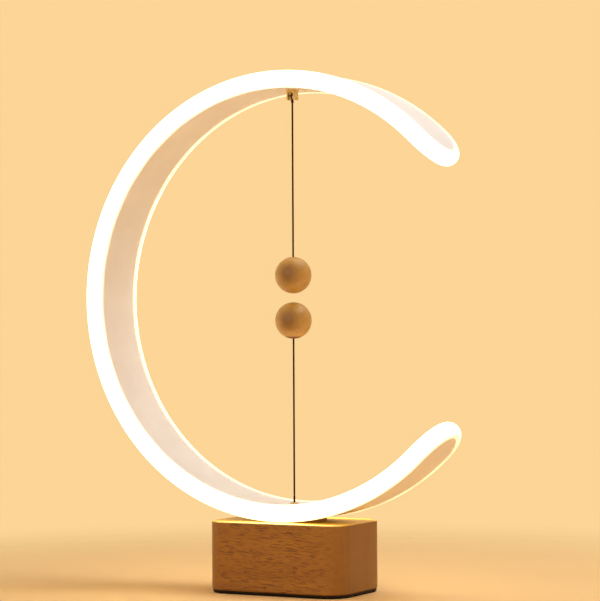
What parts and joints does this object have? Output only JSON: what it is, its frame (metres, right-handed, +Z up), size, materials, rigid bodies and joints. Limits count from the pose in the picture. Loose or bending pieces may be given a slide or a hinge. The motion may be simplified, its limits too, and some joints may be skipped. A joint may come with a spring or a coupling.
{
  "type": "magnetic balance lamp",
  "caption": "Table lamp whose light runs round a C-shaped band on a wooden base. Two magnetic wooden balls on cords attract in mid-air, and the lower cord works the switch.",
  "frame": {"origin": "middle of the foot pad's underside, on the line of the two cords", "axes": "+Z up, -Y toward the front, and the mouth of the C opens toward +X"},
  "size_m": [0.2479, 0.062, 0.32],
  "materials": {
    "beech": "oiled",
    "beech_balls": "oiled",
    "plug_wood": "oiled",
    "white_diffuser": "opal",
    "cover_sheet": "satin",
    "black_plastic": "moulded",
    "foot_rubber": "matte",
    "steel": "zinc plated",
    "magnet": "nickel plated",
    "brass": "satin",
    "cord": "waxed braid",
    "board": "solder mask",
    "chip": "moulded",
    "capacitor_can": "drawn",
    "flex": "laminate",
    "led": "phosphor",
    "lead": "insulation",
    "pivot_plastic": "moulded"
  },
  "bodies": {
    "lamp": {"base_block": "beech", "bottom_cover": "black_plastic", "foot_pad": "foot_rubber", "cover_screws": "steel", "ballast_weight": "steel", "ballast_screws": "steel", "circuit_board": "board", "board_screws": "steel", "capacitor": "capacitor_can", "driver_chip": "chip", "inductor": "chip", "usb_shell": "steel", "usb_tongue": "black_plastic", "switch_body": "black_plastic", "lever_pivot_pin": "steel", "switch_bracket": "steel", "return_spring": "steel", "eyelet": "brass", "ring_saddle": "plug_wood", "clamp_plate": "steel", "ring_screws": "steel", "power_leads": "lead", "outer_cover": "cover_sheet", "inner_cover": "cover_sheet", "diffuser": "white_diffuser", "led_strip": "flex", "led_packages": "led", "cord_anchor": "brass", "anchor_nut": "brass", "anchor_pin": "steel"},
    "lever": {"switch_lever": "pivot_plastic"},
    "plunger": {"switch_plunger": "pivot_plastic"},
    "pulled_cord": {"pull_cord": "cord", "cord_stop": "brass"},
    "lower_bend": {"cord_bend": "cord"},
    "lower_ball": {"lower_cord": "cord", "lower_ball": "beech_balls", "lower_magnet": "magnet", "lower_plug": "plug_wood"},
    "upper_hook": {"cord_loop": "cord"},
    "upper_ball": {"upper_cord": "cord", "upper_ball": "beech_balls", "upper_magnet": "magnet", "upper_plug": "plug_wood"}
  },
  "joints": [
    {"name": "upper_swing_fore_aft", "type": "hinge", "parent": "lamp", "child": "upper_hook", "pos_m": [0, 0, 0.3062], "axis": [1, 0, 0], "range_deg": [-50, 50]},
    {"name": "upper_swing_sideways", "type": "hinge", "parent": "upper_hook", "child": "upper_ball", "pos_m": [0, 0, 0.3026], "axis": [0, 1, 0], "range_deg": [-50, 50]},
    {"name": "cord_pull", "type": "slide", "parent": "lamp", "child": "pulled_cord", "axis": [0, 0, 1], "range_m": [-0.004, 0], "stiffness_N_per_m": 40, "springref_m": 0.006, "deforming": ["return_spring"]},
    {"name": "lower_lean_fore_aft", "type": "hinge", "parent": "pulled_cord", "child": "lower_bend", "pos_m": [0, 0, 0.0597], "axis": [1, 0, 0], "range_deg": [-50, 50], "stiffness_Nm_per_rad": 0.03},
    {"name": "lower_lean_sideways", "type": "hinge", "parent": "lower_bend", "child": "lower_ball", "pos_m": [0, 0, 0.0597], "axis": [0, 1, 0], "range_deg": [-50, 50], "stiffness_Nm_per_rad": 0.03},
    {"name": "lever_tilt", "type": "hinge", "parent": "lamp", "child": "lever", "pos_m": [-0.02, 0, 0.02265], "axis": [0, -1, 0], "range_deg": [-11.6, 0]},
    {"name": "plunger_stroke", "type": "slide", "parent": "lamp", "child": "plunger", "axis": [0, 0, 1], "range_m": [0, 0.00125]}
  ],
  "couplings": [
    {"joint": "lever_tilt", "follows": "cord_pull", "rad_per_m": 50},
    {"joint": "plunger_stroke", "follows": "cord_pull", "ratio": -0.3}
  ]
}
